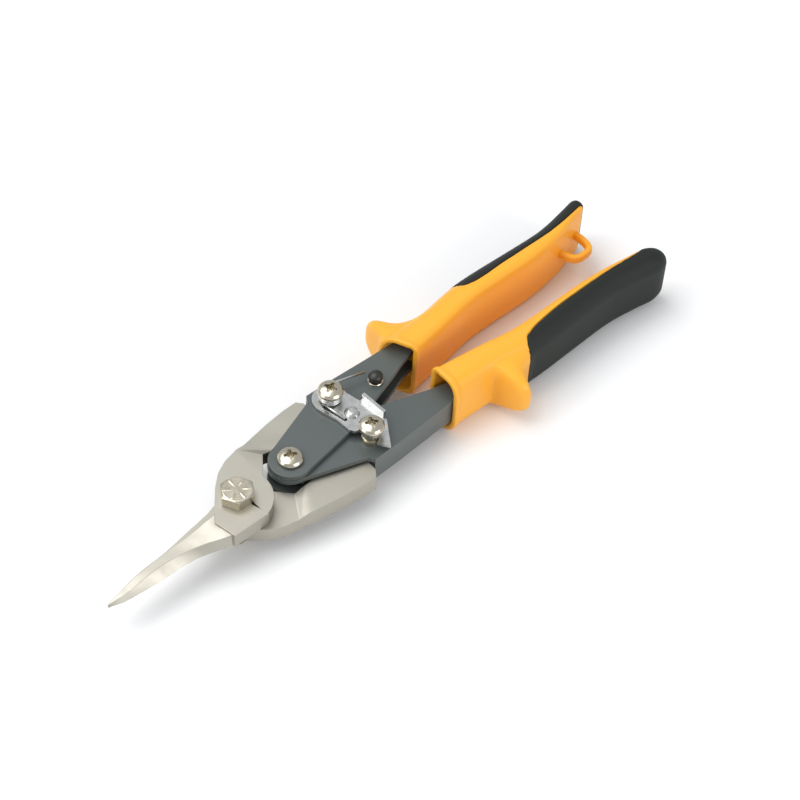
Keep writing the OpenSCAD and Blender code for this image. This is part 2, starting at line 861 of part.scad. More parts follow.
module latch_plate() {
    tab_x = 8.2;
    tab_y0 = -18.4;
    tab_len = 11;
    color(bright)
        at_upper_link() {
            difference() {
                union() {
                    translate([0, 0, latch_z])
                        linear_extrude(latch_t)
                            latch_blank();
                    // Thumb tab, turned up along the rear edge.
                    translate([7.2, tab_y0, latch_z])
                        cube([tab_x - 7.2 + latch_t, tab_len, latch_t]);
                    translate([tab_x, tab_y0, latch_z])
                        cube([latch_t, tab_len, latch_t + tab_h]);
                    // Pressed dome behind the spring hole.
                    translate([1.4, -9.8, latch_top])
                        intersection() {
                            cylinder(r = 2.8, h = 1.4);
                            translate([0, 0, -1.8])
                                sphere(r = 3.4);
                        }
                }
                translate([0, 0, latch_z - 1])
                    cylinder(r = sleeve_r + run_fit, h = latch_t + 2);
                // Way of the catch collar's waist in and out of the notch.
                for (q = [0 : 0.4 : blade_open])
                    translate([catch_at(q)[0], catch_at(q)[1], latch_z - 1])
                        cylinder(r = waist_r + notch_play, h = latch_t + 2);
                // Slot from the pivot to the hole for the spring's hooked leg.
                translate([0, 0, latch_z - 1])
                    linear_extrude(latch_t + 2) {
                        translate([-3.6, -2])
                            circle(r = 1.1);
                        polygon([[-4.7, -2], [-2.5, -2], [-1.6, -10.4], [-3.2, -10.4]]);
                        translate([-2.4, -10.4])
                            circle(r = 0.8);
                    }
            }
        }
}

lower_blade();
upper_blade();
pivot_bolt();
pivot_washer();
pivot_nut();
lower_channel();
upper_channel();
lower_grip();
upper_grip();
lower_grip_insert();
upper_grip_insert();
hanging_loop();
handle_pivot_screw();
handle_pivot_sleeve();
handle_pivot_nut();
lower_link_screw();
lower_link_sleeve();
lower_link_nut();
upper_link_screw();
upper_link_sleeve();
upper_link_nut();
main_spring();
catch_collar();
latch_collar();
latch_plate();
latch_spring();
spring_anchor_post();
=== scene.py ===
"""Looks of a pair of compound-action aviation snips, closed and latched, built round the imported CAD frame.

Metres throughout. +X runs from the main pivot to the grips, +Y to the upper handle, +Z up.
"""

import math

import bmesh
import bpy
import numpy as np
from mathutils import Matrix


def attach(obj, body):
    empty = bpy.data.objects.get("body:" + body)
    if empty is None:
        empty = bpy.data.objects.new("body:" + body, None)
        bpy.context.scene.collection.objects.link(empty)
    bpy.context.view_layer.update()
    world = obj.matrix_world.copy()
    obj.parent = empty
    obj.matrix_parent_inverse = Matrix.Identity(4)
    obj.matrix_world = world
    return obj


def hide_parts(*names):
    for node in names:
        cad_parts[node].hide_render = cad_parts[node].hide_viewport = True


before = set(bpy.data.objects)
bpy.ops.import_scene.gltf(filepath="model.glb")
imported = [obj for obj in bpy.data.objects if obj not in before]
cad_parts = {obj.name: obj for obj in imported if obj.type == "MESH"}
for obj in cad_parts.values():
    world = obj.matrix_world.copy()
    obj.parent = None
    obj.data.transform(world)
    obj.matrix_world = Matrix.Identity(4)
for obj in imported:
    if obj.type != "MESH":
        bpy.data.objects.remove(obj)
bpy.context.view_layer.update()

MM = 0.001


# ---------------------------------------------------------------- materials


def hex_linear(text):
    """sRGB hex colour to linear RGBA."""
    parts = [int(text[i : i + 2], 16) / 255 for i in (1, 3, 5)]
    linear = [c / 12.92 if c <= 0.04045 else ((c + 0.055) / 1.055) ** 2.4 for c in parts]
    return (*linear, 1.0)


def add_node(material, kind, settings=None, inputs=None):
    """A shader node with its settings.

    An input given as a (node, output) pair is linked, and any other is a value.
    """
    tree = material.node_tree
    made = tree.nodes.new(kind)
    for name, value in (settings or {}).items():
        setattr(made, name, value)
    for name, value in (inputs or {}).items():
        if isinstance(value, tuple) and len(value) == 2 and hasattr(value[0], "outputs"):
            tree.links.new(value[0].outputs[value[1]], made.inputs[name])
        else:
            made.inputs[name].default_value = value
    return made


def new_material(name, **surface):
    """A named material: a Principled shader with these socket values, and its Object coordinates."""
    material = bpy.data.materials.new(name)
    material.use_nodes = True
    material.node_tree.nodes.clear()
    shader = add_node(material, "ShaderNodeBsdfPrincipled", {}, surface)
    output = add_node(material, "ShaderNodeOutputMaterial")
    material.node_tree.links.new(shader.outputs["BSDF"], output.inputs["Surface"])
    place = add_node(material, "ShaderNodeTexCoord")
    return material, shader, place


def grain(material, shader, place, size_mm, height_mm, strength=1.0, stretch=None):
    """Fine relief on the surface: noise of the given grain size and height."""
    vector = (place, "Object")
    if stretch:
        mapping = add_node(material, "ShaderNodeMapping", {}, {"Vector": vector})
        mapping.inputs["Scale"].default_value = stretch
        vector = (mapping, "Vector")
    noise = add_node(
        material,
        "ShaderNodeTexNoise",
        {},
        {"Vector": vector, "Scale": 1 / (size_mm * MM), "Detail": 3.0, "Roughness": 0.6},
    )
    bump = add_node(
        material,
        "ShaderNodeBump",
        {},
        {"Height": (noise, "Fac"), "Distance": height_mm * MM, "Strength": strength},
    )
    material.node_tree.links.new(bump.outputs["Normal"], shader.inputs["Normal"])
    return noise


def shade_between(material, shader, place, socket, low, high, size_mm, detail=2.0):
    """Slow wander of one shader value or colour between low and high over patches of the given size."""
    noise = add_node(
        material,
        "ShaderNodeTexNoise",
        {},
        {"Vector": (place, "Object"), "Scale": 1 / (size_mm * MM), "Detail": detail},
    )
    ramp = add_node(material, "ShaderNodeValToRGB", {}, {"Fac": (noise, "Fac")})
    ramp.color_ramp.elements[0].position = 0.35
    ramp.color_ramp.elements[1].position = 0.65
    ramp.color_ramp.elements[0].color = low
    ramp.color_ramp.elements[1].color = high
    material.node_tree.links.new(ramp.outputs["Color"], shader.inputs[socket])


def grey(value):
    return (value, value, value, 1.0)


def blasted_tool_steel():
    """Forged tool steel, bead-blasted and lightly plated.

    It gives an even, warm, satin grey with soft wide highlights.
    """
    material, shader, place = new_material(
        "blasted_tool_steel", **{"Metallic": 1.0, "Base Color": hex_linear("#B2AEA3")}
    )
    grain(material, shader, place, size_mm=0.35, height_mm=0.012)
    shade_between(material, shader, place, "Roughness", grey(0.40), grey(0.48), size_mm=6)
    return material


def baked_enamel():
    """Blue-grey baked enamel on pressed sheet steel: smooth, half-gloss, with a trace of orange peel."""
    material, shader, place = new_material(
        "blue_grey_baked_enamel",
        **{"Base Color": hex_linear("#505755"), "Roughness": 0.34, "Specular IOR Level": 0.6},
    )
    grain(material, shader, place, size_mm=0.9, height_mm=0.006)
    return material


def yellow_polypropylene():
    """Moulded polypropylene in yellow-orange: satin, with a faint moulded texture that softens highlights."""
    material, shader, place = new_material(
        "moulded_yellow_polypropylene",
        **{"Base Color": hex_linear("#F4AC2E"), "Roughness": 0.40},
    )
    grain(material, shader, place, size_mm=0.5, height_mm=0.006)
    shade_between(material, shader, place, "Roughness", grey(0.36), grey(0.46), size_mm=9)
    return material


def charcoal_elastomer():
    """Soft charcoal thermoplastic elastomer, overmoulded: matte, with a fine leathery mould texture."""
    material, shader, place = new_material(
        "charcoal_thermoplastic_elastomer",
        **{"Base Color": hex_linear("#1E221E"), "Roughness": 0.58, "Specular IOR Level": 0.3},
    )
    grain(material, shader, place, size_mm=0.5, height_mm=0.02)
    return material


def nickel_plate():
    """Nickel-plated steel fasteners: bright, slightly warm metal with crisp reflections."""
    material, shader, place = new_material(
        "bright_nickel_plate", **{"Metallic": 1.0, "Base Color": hex_linear("#C9C2B0")}
    )
    grain(material, shader, place, size_mm=0.5, height_mm=0.003)
    shade_between(material, shader, place, "Roughness", grey(0.20), grey(0.28), size_mm=3)
    return material


def zinc_plate():
    """Zinc-plated stamped sheet: cold white metal with a light rolling grain."""
    material, shader, place = new_material(
        "bright_zinc_plate", **{"Metallic": 1.0, "Base Color": hex_linear("#CDCECC")}
    )
    grain(material, shader, place, size_mm=0.4, height_mm=0.003, stretch=(1, 0.15, 1))
    shade_between(material, shader, place, "Roughness", grey(0.22), grey(0.32), size_mm=4)
    return material


def spring_wire():
    """Oil-tempered spring wire: dark steel with narrow bright lines along the wire."""
    material, shader, place = new_material(
        "oil_tempered_spring_wire",
        **{"Metallic": 1.0, "Base Color": hex_linear("#7C7A74"), "Roughness": 0.28},
    )
    return material


def black_oxide():
    """Black-oxide steel rivet head: nearly black, satin."""
    material, shader, place = new_material(
        "black_oxide_steel",
        **{"Metallic": 0.6, "Base Color": hex_linear("#3A3A38"), "Roughness": 0.36},
    )
    return material


STEEL = blasted_tool_steel()
ENAMEL = baked_enamel()
YELLOW = yellow_polypropylene()
CHARCOAL = charcoal_elastomer()
NICKEL = nickel_plate()
ZINC = zinc_plate()
SPRING = spring_wire()
BLACK = black_oxide()


# ---------------------------------------------------------------- mesh helpers


def mesh_piece(name, vertices, faces, material, body, replaces=(), smooth=True):
    """A new piece from arrays of vertices in metres and faces, riding on a body."""
    mesh = bpy.data.meshes.new(name)
    mesh.from_pydata(np.asarray(vertices, float).tolist(), [], [list(f) for f in faces])
    mesh.materials.append(material)
    mesh.polygons.foreach_set("use_smooth", np.full(len(mesh.polygons), smooth))
    mesh.update()
    piece = bpy.data.objects.new(name, mesh)
    bpy.context.scene.collection.objects.link(piece)
    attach(piece, body)
    if replaces:
        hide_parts(*replaces)
    return piece


def grid_faces(rows, columns, wrap=True, flip=False):
    """Quads of a grid of rows by columns of vertices, its columns closed into rings if wrap is set."""
    across = columns if wrap else columns - 1
    i, j = np.meshgrid(np.arange(rows - 1), np.arange(across), indexing="ij")
    k = (j + 1) % columns
    quads = np.stack(
        [i * columns + j, i * columns + k, (i + 1) * columns + k, (i + 1) * columns + j], -1
    ).reshape(-1, 4)
    return quads[:, ::-1] if flip else quads


def capped_tube(rings):
    """Vertices and faces of a stack of closed rings, each end closed by a fan to its own centre."""
    rings = np.asarray(rings, float)
    rows, columns = rings.shape[:2]
    points = np.vstack([rings.reshape(-1, 3), rings[0].mean(0), rings[-1].mean(0)])
    j = np.arange(columns)
    k = (j + 1) % columns
    start, end = rows * columns, rows * columns + 1
    first = np.stack([np.full(columns, start), k, j], -1)
    last = np.stack([np.full(columns, end), (rows - 1) * columns + j, (rows - 1) * columns + k], -1)
    return points, [*grid_faces(rows, columns).tolist(), *first.tolist(), *last.tolist()]


def lathe(profile, centre, columns=96):
    """Profile of (radius, height) pairs turned round a vertical axis through centre, as stacked rings."""
    profile = np.asarray(profile, float)
    turn = np.linspace(0, 2 * np.pi, columns, endpoint=False)
    x = centre[0] + profile[:, :1] * np.cos(turn)
    y = centre[1] + profile[:, :1] * np.sin(turn)
    z = np.repeat(profile[:, 1:2], columns, 1)
    return np.stack([x, y, z], -1)


def sweep(path, radius, columns=20):
    """Round wire carried along a path of points.

    Its rings are square to the path and held by one fixed up direction.
    """
    path = np.asarray(path, float)
    along = np.gradient(path, axis=0)
    along /= np.linalg.norm(along, axis=1, keepdims=True)
    side = np.cross(along, (0.0, 0.0, 1.0))
    side /= np.linalg.norm(side, axis=1, keepdims=True)
    up = np.cross(side, along)
    turn = np.linspace(0, 2 * np.pi, columns, endpoint=False)
    ring = np.cos(turn)[None, :, None] * side[:, None] + np.sin(turn)[None, :, None] * up[:, None]
    return path[:, None] + radius * ring


def softened(node, name, material, body, bevel_mm, angle=28):
    """A copy of a CAD node's mesh, its loose triangles merged and its edges rounded by a small bevel."""
    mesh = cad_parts[node].data.copy()
    mesh.name = name
    work = bmesh.new()
    work.from_mesh(mesh)
    bmesh.ops.remove_doubles(work, verts=work.verts, dist=0.002 * MM)
    bmesh.ops.dissolve_degenerate(work, edges=work.edges, dist=0.002 * MM)
    bmesh.ops.dissolve_limit(
        work, angle_limit=math.radians(1.0), verts=work.verts, edges=work.edges
    )
    work.to_mesh(mesh)
    work.free()
    mesh.materials.clear()
    mesh.materials.append(material)
    mesh.polygons.foreach_set("use_smooth", np.ones(len(mesh.polygons), bool))
    if "custom_normal" in mesh.attributes:
        mesh.attributes.remove(mesh.attributes["custom_normal"])
    piece = bpy.data.objects.new(name, mesh)
    bpy.context.scene.collection.objects.link(piece)
    edge = piece.modifiers.new("edge_round", "BEVEL")
    edge.width = bevel_mm * MM
    edge.segments = 3
    edge.limit_method = "ANGLE"
    edge.angle_limit = math.radians(angle)
    edge.loop_slide = False
    flat = piece.modifiers.new("flat_faces", "WEIGHTED_NORMAL")
    flat.weight = 100
    flat.keep_sharp = True
    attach(piece, body)
    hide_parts(node)
    return piece


def smooth_curve(knots, x):
    """Cubic Hermite through (x, value) knots with central slopes, held flat-sloped beyond the ends."""
    knots = np.asarray(knots, float)
    xs, ys = knots[:, 0], knots[:, 1]
    slopes = np.empty(len(xs))
    slopes[1:-1] = (ys[2:] - ys[:-2]) / (xs[2:] - xs[:-2])
    slopes[0] = (ys[1] - ys[0]) / (xs[1] - xs[0])
    slopes[-1] = (ys[-1] - ys[-2]) / (xs[-1] - xs[-2])
    x = np.asarray(x, float)
    i = np.clip(np.searchsorted(xs, x, side="right") - 1, 0, len(xs) - 2)
    h = xs[i + 1] - xs[i]
    t = np.clip((x - xs[i]) / h, 0, 1)
    return (
        ys[i] * (2 * t**3 - 3 * t**2 + 1)
        + slopes[i] * h * (t**3 - 2 * t**2 + t)
        + ys[i + 1] * (3 * t**2 - 2 * t**3)
        + slopes[i + 1] * h * (t**3 - t**2)
    )


def smooth_step(low, high, x):
    t = np.clip((x - low) / (high - low), 0, 1)
    return t * t * (3 - 2 * t)


# ---------------------------------------------------------------- grips

GRIP_HEIGHT = 25.0
GRIP_OUTER = [
    (78, 17.6), (88, 18.1), (103, 18.5), (118, 20.5), (128, 20.9), (148, 20.2),
    (160, 19.8), (168, 20), (178, 21.2), (190, 23.2), (205, 24.6),
]
GRIP_INNER_FRONT = [
    (78, 4.2), (88, 5), (94, 5.7), (107, 7.4), (120, 9.4), (130, 9.9), (150, 9.7),
]
INNER_CORNER = 3.0
OUTER_CORNER = (5.6, 6.6)
INSERT_DEPTH = 0.7
INSERT_PROUD = 0.12
GUARD_HALF = 10.6


def section_frame():
    """The grip's rounded section as fixed parts.

    For each point it gives the share across, the share up and the corner offsets.

    Going round from the middle of the inner side over the top, down the outer side and back underneath.
    """
    def arc(count, start, turn):
        a = np.radians(start + turn * np.linspace(0, 1, count, endpoint=False))
        return np.cos(a), np.sin(a)

    parts = []
    runs = [
        ("in", 0.0, 1.0, 14), ("in_top", 180, -90, 12), ("top", 0.0, 1.0, 22), ("out_top", 90, -90, 26),
        ("out", 1.0, -1.0, 56), ("out_bottom", 0, -90, 26), ("bottom", 1.0, 0.0, 16),
        ("in_bottom", 270, -90, 12), ("in", -1.0, 0.0, 14),
    ]
    for name, start, end, count in runs:
        share = start + (end - start) * np.linspace(0, 1, count, endpoint=False)
        zero = np.zeros(count)
        if name == "in":
            parts.append(np.stack([zero, share, zero - 1, zero, zero, share * 0, zero], -1))
        elif name in ("top", "bottom"):
            up = 1.0 if name == "top" else -1.0
            parts.append(np.stack([share, zero + up, zero, zero + up, zero + 1, zero, zero], -1))
        elif name == "out":
            parts.append(np.stack([zero + 1, share, zero + 1, zero, zero + 2, zero, zero], -1))
        else:
            c, s = arc(count, start, end)
            outer = name.startswith("out")
            up = 1.0 if name.endswith("top") else -1.0
            parts.append(
                np.stack([zero + outer, zero + up, c, s, zero + 3 + outer, zero, zero], -1)
            )
    return np.vstack(parts)


def grip_section(y_in, y_out, z_half):
    """Section points for every station.

    They are (stations, points) arrays of the distance out and the height from the middle.
    """
    parts = section_frame()
    share, up, cos_a, sin_a, kind = (parts[None, :, i] for i in range(5))
    y_in, y_out, z_half = (np.asarray(v, float)[:, None] for v in (y_in, y_out, z_half))
    width = y_out - y_in
    squeeze = np.minimum(1, width / (INNER_CORNER + OUTER_CORNER[0] + 0.6))
    low = np.minimum(squeeze, z_half / (OUTER_CORNER[1] + 0.4))
    r_in, r_y, r_z = INNER_CORNER * low, OUTER_CORNER[0] * low, OUTER_CORNER[1] * low
    y = np.where(
        kind == 0, y_in,
        np.where(
            kind == 1, y_in + r_in + share * (width - r_in - r_y),
            np.where(
                kind == 2, y_out,
                np.where(kind == 3, y_in + r_in + r_in * cos_a, y_out - r_y + r_y * cos_a),
            ),
        ),
    )
    z = np.where(
        kind == 0, up * (z_half - r_in),
        np.where(
            kind == 1, up * z_half,
            np.where(
                kind == 2, up * (z_half - r_z),
                np.where(
                    kind == 3, up * (z_half - r_in) + r_in * sin_a, up * (z_half - r_z) + r_z * sin_a
                ),
            ),
        ),
    )
    return y, z


def outward(y, z):
    """Unit outward direction of each section point, from the steps to its neighbours round the ring."""
    dy = np.roll(y, -1, 1) - np.roll(y, 1, 1)
    dz = np.roll(z, -1, 1) - np.roll(z, 1, 1)
    length = np.hypot(dy, dz) + 1e-9
    return -dz / length, dy / length


def guard_height(x, base, shape):
    """Finger guard's height over the grip's outer side at x.

    It has a steep front, a rounded tip and a hollow sweep behind.
    """
    return smooth_curve([(base + dx, h) for dx, h in shape], x)


def insert_line(x, insert):
    """How far the insert's edge lies along the section, in mm from the top outer corner.

    It is negative on the top.
    """
    return smooth_curve(insert, x)


class Grip:
    """One handle's moulding: its ends, guard and insert, in millimetres, mirrored to its own side."""

    def __init__(self, side, front, end, end_round, slant, inner, guard_base, guard_shape, insert):
        self.side, self.front, self.end, self.end_round = side, front, end, end_round
        self.slant, self.inner, self.insert = slant, GRIP_INNER_FRONT + inner, insert
        self.guard_base, self.guard_shape = guard_base, guard_shape

    def stations(self):
        """Places along the grip, finer at the guard and at the rounded end.

        Returns x, inset and height inset.
        """
        dense = np.arange(self.guard_base - 3, self.guard_base + 20, 0.35)
        body = np.concatenate([
            self.front + np.array([0.0, 0.12, 0.35, 0.7, 1.1, 1.5, 2.0, 2.6]),
            np.arange(self.front + 3.4, self.end - self.end_round[0], 0.8),
            dense[dense > self.front + 3.4],
        ])
        body = np.unique(np.round(body, 3))
        a = np.radians(np.linspace(0, 88, 15))
        tip = self.end - self.end_round[0] + self.end_round[0] * np.sin(a)
        x = np.concatenate([body, tip])
        fall = np.concatenate([np.zeros(len(body)), 1 - np.cos(a)])
        return x, fall

    def surface(self, offset):
        """Rings of the skin, pushed outwards by offset(x, edge distance) in millimetres."""
        x, fall = self.stations()
        y_in = smooth_curve(self.inner, x) + self.end_round[1] * fall
        y_out = smooth_curve(GRIP_OUTER, x) - self.end_round[1] * fall
        z_half = GRIP_HEIGHT / 2 - self.end_round[2] * fall
        y, z = grip_section(y_in, y_out, z_half)
        out_y, out_z = outward(y, z)
        grid_x = np.repeat(x[:, None], y.shape[1], 1)
        # Distance along the section from the top outer corner, the same above and below.
        rim_y = y_out[:, None] - OUTER_CORNER[0]
        round_share = np.arctan2(y - rim_y, np.maximum(np.abs(z) - (z_half[:, None] - OUTER_CORNER[1]), 0))
        corner = np.clip(round_share, 0, np.pi / 2) / (np.pi / 2) * 9.5
        along = np.where(y < rim_y, y - rim_y, np.where(
            np.abs(z) > z_half[:, None] - OUTER_CORNER[1], corner,
            9.5 + (z_half[:, None] - OUTER_CORNER[1] - np.abs(z)),
        ))
        edge = along - insert_line(grid_x, self.insert)
        push = offset(grid_x, edge)
        # The collar's rim slants: its outer side reaches forward.
        shear = self.slant * (y - 5) / 13 * (1 - smooth_step(0, 16, grid_x - self.front))
        place_x = grid_x - shear
        window = (1 - np.clip(np.abs(z) / GUARD_HALF, 0, 1) ** 3.2) ** 0.8
        guard = guard_height(place_x, self.guard_base, self.guard_shape) * window
        facing = np.clip(out_y, 0, 1) ** 0.5 * (y > (y_in + y_out)[:, None] / 2)
        y = y + push * out_y + guard * facing
        z = z + push * out_z
        return place_x, y, z

    def rings(self, offset):
        x, y, z = self.surface(offset)
        points = np.stack([x, self.side * y, z + GRIP_HEIGHT / 2], -1) * MM
        return points if self.side < 0 else points[:, ::-1]

    def mouth(self):
        """Rings of the collar's recess, from its floor out to the rim."""
        x, y, z = self.surface(lambda at, edge: 0 * at)
        rows = []
        for depth, inset in ((7.0, 2.2), (6.6, 1.9), (1.2, 1.6), (0.35, 1.45), (0.08, 1.2), (-0.12, 0.75)):
            out_y, out_z = outward(y[:1], z[:1])
            rows.append(np.stack([
                x[0] + depth, self.side * (y[0] - inset * out_y[0]), z[0] - inset * out_z[0] + GRIP_HEIGHT / 2
            ], -1) * MM)
        rows = np.array(rows)
        return rows if self.side < 0 else rows[:, ::-1]


def body_offset(grip):
    """The moulding's skin: a raised lip at the collar's rim, and a step down under the insert's edge."""
    def offset(x, edge):
        lip = 0.55 * (1 - smooth_step(1.6, 2.6, x - grip.front)) * smooth_step(-0.1, 0.35, x - grip.front)
        seat = -INSERT_DEPTH * smooth_step(-0.30, 0.10, edge)
        return lip + seat
    return offset


def insert_offset(x, edge):
    """The insert's skin: proud of the moulding inside its edge, sunk well below it outside."""
    return INSERT_PROUD - (INSERT_DEPTH + 0.5) * (1 - smooth_step(-0.25, 0.55, edge))


GUARD_SHAPE = [
    (-1.2, 0), (-0.4, 0), (0.4, 1.4), (1.2, 5.4), (2.0, 9.4), (2.9, 11.6), (4.2, 12.5), (5.6, 12.3),
    (6.6, 10.7), (7.8, 8.0), (9.4, 5.4), (11.7, 3.1), (14.7, 1.3), (18.0, 0.2), (20.0, 0),
]
UPPER_GRIP = Grip(
    side=1, front=88.0, end=187.0, end_round=(3.2, 1.9, 2.6), slant=5.4,
    inner=[(160, 10.2), (170, 11.8), (180, 14.6), (190, 16.8), (205, 18.4)],
    guard_base=84.6, guard_shape=GUARD_SHAPE,
    insert=[(80, 40), (118.5, 30), (119.6, 10), (121.5, 2.5), (125, 0.2), (131, -0.4), (142, 0.2),
            (160, 0.6), (176, 0.4), (183, 0.2), (188.5, 0.0), (200, 0)],
)
LOWER_GRIP = Grip(
    side=-1, front=86.5, end=193.0, end_round=(8.0, 4.6, 5.0), slant=0.6,
    inner=[(160, 9.8), (170, 10.5), (183, 12.3), (205, 14.6)],
    guard_base=104.6, guard_shape=GUARD_SHAPE,
    insert=[(80, 40), (118.5, 30), (119.6, 10), (121.5, 2.5), (125, 0.2), (131, -1.0), (142, -1.6),
            (160, -1.4), (178, -2.4), (186, -4.2), (190, -8), (193, -16), (196, -34)],
)


def build_grip(grip, name, body, node, insert_node):
    rings = np.concatenate([grip.mouth(), grip.rings(body_offset(grip))])
    points, faces = capped_tube(rings)
    mesh_piece(name, points, faces, YELLOW, body, [node])
    x, _ = grip.stations()
    rear = x > 116.0
    points, faces = capped_tube(grip.rings(insert_offset)[rear])
    mesh_piece(name + "_insert", points, faces, CHARCOAL, body, [insert_node])


build_grip(UPPER_GRIP, "upper_grip_moulding", "upper_handle", "upper_grip", "upper_grip_insert")
build_grip(LOWER_GRIP, "lower_grip_moulding", "lower_handle", "lower_grip", "lower_grip_insert")


def hanging_loop():
    """A round-edged bar carried round half a superellipse, its two ends run into the grip.

    The superellipse has exponent 3.3 and leans back towards the end of the handle as it leaves the grip.
    """
    middle, half_span, root, reach = 176.0, 5.7, 16.6, 11.2
    plan_power, section_power = 2 / 3.3, 2 / 2.7
    half_width, half_height = 1.3, 1.78
    lean = 0.6
    t = np.linspace(0.0, np.pi, 61)
    c, s = np.cos(t), np.sin(t)
    out = np.abs(s) ** plan_power
    path = np.stack([
        middle - half_span * np.sign(c) * np.abs(c) ** plan_power + lean * (out - 0.5),
        root - reach * out,
    ], -1)
    along = np.gradient(path, axis=0)
    along /= np.linalg.norm(along, axis=1, keepdims=True)
    side = np.stack([along[:, 1], -along[:, 0]], -1)
    # The section is a superellipse with exponent 2.7.
    turn = np.linspace(0, 2 * np.pi, 32, endpoint=False)
    across = half_width * np.sign(np.cos(turn)) * np.abs(np.cos(turn)) ** section_power
    up = half_height * np.sign(np.sin(turn)) * np.abs(np.sin(turn)) ** section_power
    xy = path[:, None] + across[None, :, None] * side[:, None]
    z = np.broadcast_to(up + GRIP_HEIGHT / 2, xy.shape[:2])
    points, faces = capped_tube(np.concatenate([xy, z[..., None]], -1) * MM)
    mesh_piece(
        "hanging_loop_bar", points, faces, YELLOW, "upper_handle", ["hanging_loop"]
    )


hanging_loop()


# ---------------------------------------------------------------- blades and channels

softened("upper_blade", "upper_blade_forging", STEEL, "upper_blade", 0.35)
softened("lower_blade", "lower_blade_forging", STEEL, "lower_blade", 0.35)
softened("upper_channel", "upper_channel_pressing", ENAMEL, "upper_handle", 0.3)
softened("lower_channel", "lower_channel_pressing", ENAMEL, "lower_handle", 0.3)
softened("latch_plate", "latch_plate_stamping", ZINC, "latch", 0.15)
softened("pivot_nut", "pivot_nut_hexagon", NICKEL, "lower_blade", 0.3)
softened("handle_pivot_nut", "handle_pivot_nut_hexagon", NICKEL, "lower_handle", 0.2)
softened("upper_link_nut", "upper_link_nut_hexagon", NICKEL, "upper_handle", 0.2)
softened("lower_link_nut", "lower_link_nut_hexagon", NICKEL, "lower_handle", 0.2)

CAD_FINISHES = {
    "pivot_washer": NICKEL,
    "handle_pivot_sleeve": SPRING,
    "upper_link_sleeve": NICKEL,
    "lower_link_sleeve": NICKEL,
    "catch_collar": NICKEL,
    "latch_collar": NICKEL,
}
for node_name, finish in CAD_FINISHES.items():
    cad_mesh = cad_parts[node_name].data
    cad_mesh.materials.clear()
    cad_mesh.materials.append(finish)


# ---------------------------------------------------------------- fasteners


def pan_screw(name, centre, seat, end, turn, body, node):
    """Pan head with a cross recess, turned as rings from the recess's floor to the shank's end.

    The head's top is a shallow dome; the recess lowers it by a depth that fades across a cross of two bars.
    """
    head_r, head_h, shank_r = 4.6, 2.85, 2.4
    share = np.concatenate([np.linspace(0.02, 0.62, 48), np.linspace(0.64, 1.0, 16)])
    angle = np.linspace(0, 2 * np.pi, 192, endpoint=False)
    rho = share[:, None] * (head_r - 0.05)
    x, y = rho * np.cos(angle), rho * np.sin(angle)
    dome = head_h - 1.15 * share[:, None] ** 2.4 - 0.5 * np.maximum(share[:, None] - 0.86, 0) / 0.14 * 0.9
    c, s = math.cos(math.radians(turn)), math.sin(math.radians(turn))
    u, v = np.abs(x * c + y * s), np.abs(-x * s + y * c)
    long_way, short_way = np.maximum(u, v), np.minimum(u, v)
    half_width = 0.66 - 0.08 * long_way
    in_bar = 1 - smooth_step(half_width - 0.10, half_width + 0.08, short_way)
    in_reach = 1 - smooth_step(2.1, 2.4, long_way)
    core = 1 - smooth_step(0.85, 1.2, long_way)
    recess = 2.0 * np.maximum(in_bar * in_reach, core * (1 - smooth_step(0.85, 1.15, short_way)))
    top = np.stack([x + centre[0], y + centre[1], np.broadcast_to(dome - recess + seat, x.shape)], -1)
    side = [
        (head_r, 1.0), (head_r, 0.4), (head_r - 0.12, 0.1), (head_r - 0.4, 0.0),
        (shank_r + 0.01, 0.0), (shank_r, -0.05), (shank_r, end - seat + 0.3), (shank_r - 0.3, end - seat),
        (0.2, end - seat),
    ]
    rings = np.concatenate([top, lathe([(r, h + seat) for r, h in side], centre, len(angle))])
    points, faces = capped_tube(rings[::-1] * MM)
    piece = mesh_piece(name, points, faces, NICKEL, body, [node])
    mark_sharp(piece, 38)
    return piece


def mark_sharp(piece, degrees):
    """Edges sharper than this angle stay crisp under smooth shading."""
    work = bmesh.new()
    work.from_mesh(piece.data)
    work.edges.ensure_lookup_table()
    limit = math.radians(degrees)
    sharp = [len(e.link_faces) == 2 and e.calc_face_angle(0) > limit for e in work.edges]
    work.free()
    attribute = piece.data.attributes.new("sharp_edge", "BOOLEAN", "EDGE")
    attribute.data.foreach_set("value", sharp)


